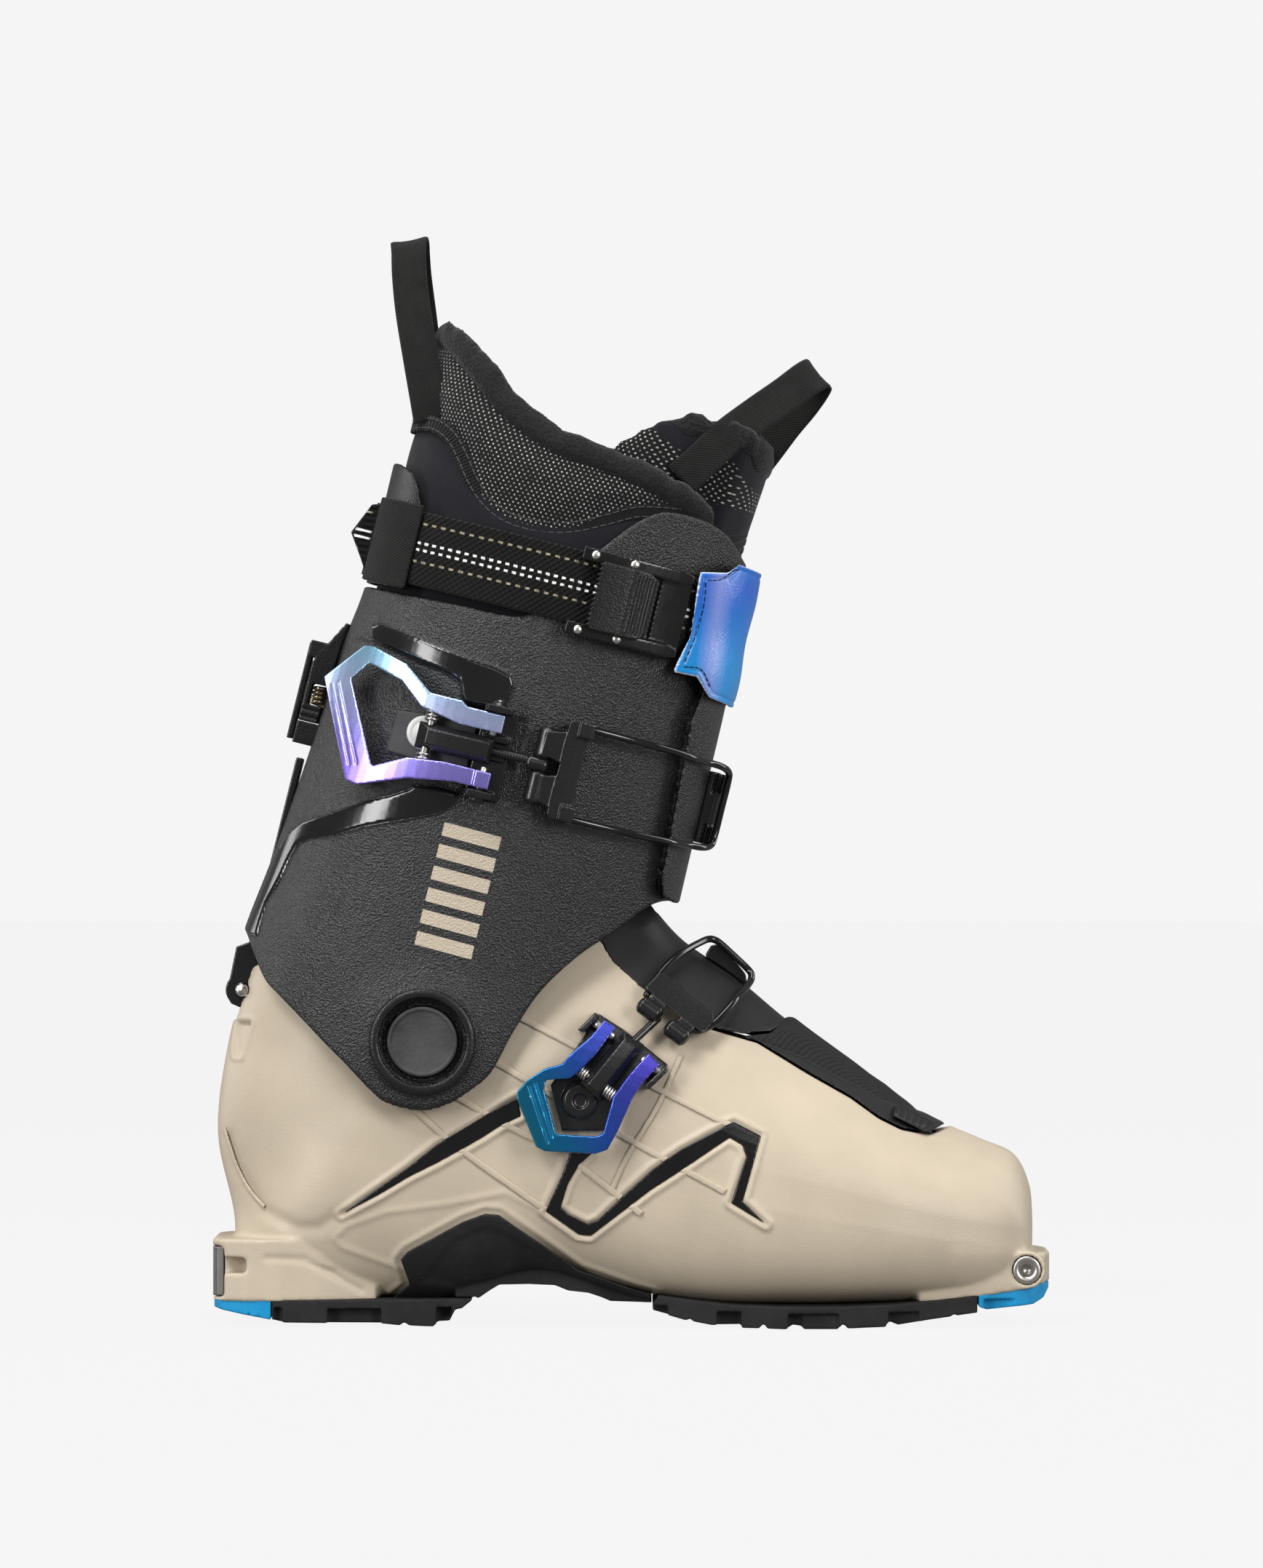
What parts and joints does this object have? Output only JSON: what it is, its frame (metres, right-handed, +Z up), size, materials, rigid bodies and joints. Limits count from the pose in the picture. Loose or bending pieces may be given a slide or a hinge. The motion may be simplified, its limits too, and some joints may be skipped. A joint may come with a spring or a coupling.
{
  "type": "alpine touring ski boot",
  "caption": "Right ski touring boot with a hinged cuff, ski-walk lock, lever buckles, power strap, removable liner, rubber soles and fittings for pin bindings.",
  "frame": {"origin": "middle of the boot's bounding box at the height of the lowest tread, on the ground", "axes": "+X towards the toe, +Y towards the inner side of the foot, +Z up; the outer side faces -Y"},
  "size_m": [0.297, 0.1209, 0.3836],
  "materials": {
    "sand_plastic": "satin moulded polyamide",
    "black_plastic": "satin moulded plastic with a fine grain",
    "grey_plastic": "matt moulded plastic",
    "black_rubber": "matt moulded rubber",
    "blue_rubber": "matt moulded rubber",
    "black_fabric": "padded mesh fabric",
    "webbing": "woven webbing",
    "blue_leather": "coated, stitched",
    "steel": "satin stainless steel",
    "brass": "plated spring wire",
    "black_metal": "gloss black coated",
    "blue_aluminium": "anodised, blue to violet",
    "foam": "foam board"
  },
  "bodies": {
    "shell": {"lower_shell": "sand_plastic", "boot_board": "grey_plastic", "insole": "foam", "liner_foot": "black_fabric", "heel_outsole": "black_rubber", "heel_sole_tip": "blue_rubber", "arch_rubber": "black_rubber", "forefoot_outsole": "black_rubber", "toe_sole_tip": "blue_rubber", "toe_insert": "steel", "heel_insert": "steel", "heel_insert_screw_upper": "black_metal", "heel_insert_screw_lower": "black_metal", "tongue": "black_plastic", "throat_gaiter": "black_fabric", "throat_badge": "black_plastic", "instep_catch": "black_metal", "lower_buckle_base": "black_metal", "lower_hinge_pin_a": "steel", "lower_hinge_pin_b": "steel", "pivot_cap_outer": "black_plastic", "pivot_cap_inner": "black_plastic", "link_rivet": "steel", "side_inlay_rear": "black_plastic", "side_inlay_front": "black_plastic"},
    "cuff": {"cuff": "black_plastic", "spoiler": "black_plastic", "liner_cuff": "black_fabric", "liner_tongue": "black_fabric", "rear_pull_loop": "webbing", "front_pull_loop": "webbing", "lock_guide": "black_plastic", "lock_collar": "black_metal", "lock_housing": "black_plastic", "lock_spring": "brass", "power_strap": "webbing", "strap_keeper": "webbing", "strap_buckle_frame": "black_plastic", "strap_pull_tab": "blue_leather", "upper_buckle_base": "black_metal", "upper_slider_plate": "grey_plastic", "upper_hinge_pin_a": "steel", "upper_hinge_pin_b": "steel", "upper_catch": "black_metal"},
    "walk_bar": {"walk_bar": "black_metal"},
    "walk_lever": {"walk_lever": "black_plastic"},
    "upper_lever": {"upper_lever": "blue_aluminium", "upper_link_pin": "steel"},
    "upper_link": {"upper_link": "black_metal", "upper_rod": "black_metal", "upper_yoke": "black_metal"},
    "upper_bail": {"upper_bail": "black_metal"},
    "lower_lever": {"lower_lever": "blue_aluminium", "lower_link_pin": "steel"},
    "lower_link": {"lower_link": "black_metal", "lower_rod": "black_metal", "lower_yoke": "black_metal"},
    "lower_bail": {"lower_bail": "black_metal"},
    "strap_cam": {"strap_cam": "black_plastic"}
  },
  "joints": [
    {"name": "cuff_pivot", "type": "hinge", "parent": "shell", "child": "cuff", "pos_m": [-0.0735, 0.0035, 0.1015], "axis": [0, 1, 0], "range_deg": [-15, 5]},
    {"name": "walk_bar_pivot", "type": "hinge", "parent": "shell", "child": "walk_bar", "pos_m": [-0.1387, 0.0035, 0.1186], "axis": [0, 1, 0], "range_deg": [-15, 5]},
    {"name": "walk_lever_hinge", "type": "hinge", "parent": "cuff", "child": "walk_lever", "pos_m": [-0.11387, 0.0035, 0.24091], "axis": [0, 1, 0], "range_deg": [0, 80]},
    {"name": "upper_lever_hinge", "type": "hinge", "parent": "cuff", "child": "upper_lever", "pos_m": [-0.05004, -0.057, 0.20386], "axis": [0.2419, 0, 0.9703], "range_deg": [0, 110]},
    {"name": "upper_link_hinge", "type": "hinge", "parent": "upper_lever", "child": "upper_link", "pos_m": [-0.07139, -0.0531, 0.20919], "axis": [0.2419, 0, 0.9703], "range_deg": [-110, 0]},
    {"name": "upper_bail_hinge", "type": "hinge", "parent": "upper_link", "child": "upper_bail", "pos_m": [-0.02202, -0.05306, 0.19637], "axis": [-0.2419, 0, -0.9703], "range_deg": [0, 60]},
    {"name": "lower_lever_hinge", "type": "hinge", "parent": "shell", "child": "lower_lever", "pos_m": [-0.00125, -0.04362, 0.0991], "axis": [-0.7858, 0.1567, 0.5982], "range_deg": [0, 110]},
    {"name": "lower_link_hinge", "type": "hinge", "parent": "lower_lever", "child": "lower_link", "pos_m": [-0.01223, -0.04633, 0.08697], "axis": [-0.7858, 0.1567, 0.5982], "range_deg": [-110, 0]},
    {"name": "lower_bail_hinge", "type": "hinge", "parent": "lower_link", "child": "lower_bail", "pos_m": [0.0121, -0.03729, 0.1103], "axis": [0.6948, -0.2193, -0.6849], "range_deg": [0, 60]},
    {"name": "strap_cam_hinge", "type": "hinge", "parent": "cuff", "child": "strap_cam", "pos_m": [0.00717, -0.0545, 0.2535], "axis": [0.2419, 0, 0.9703], "range_deg": [0, 80]}
  ],
  "couplings": [
    {"joint": "walk_bar_pivot", "follows": "cuff_pivot", "ratio": 1},
    {"joint": "upper_link_hinge", "follows": "upper_lever_hinge", "ratio": -1},
    {"joint": "lower_link_hinge", "follows": "lower_lever_hinge", "ratio": -1}
  ]
}
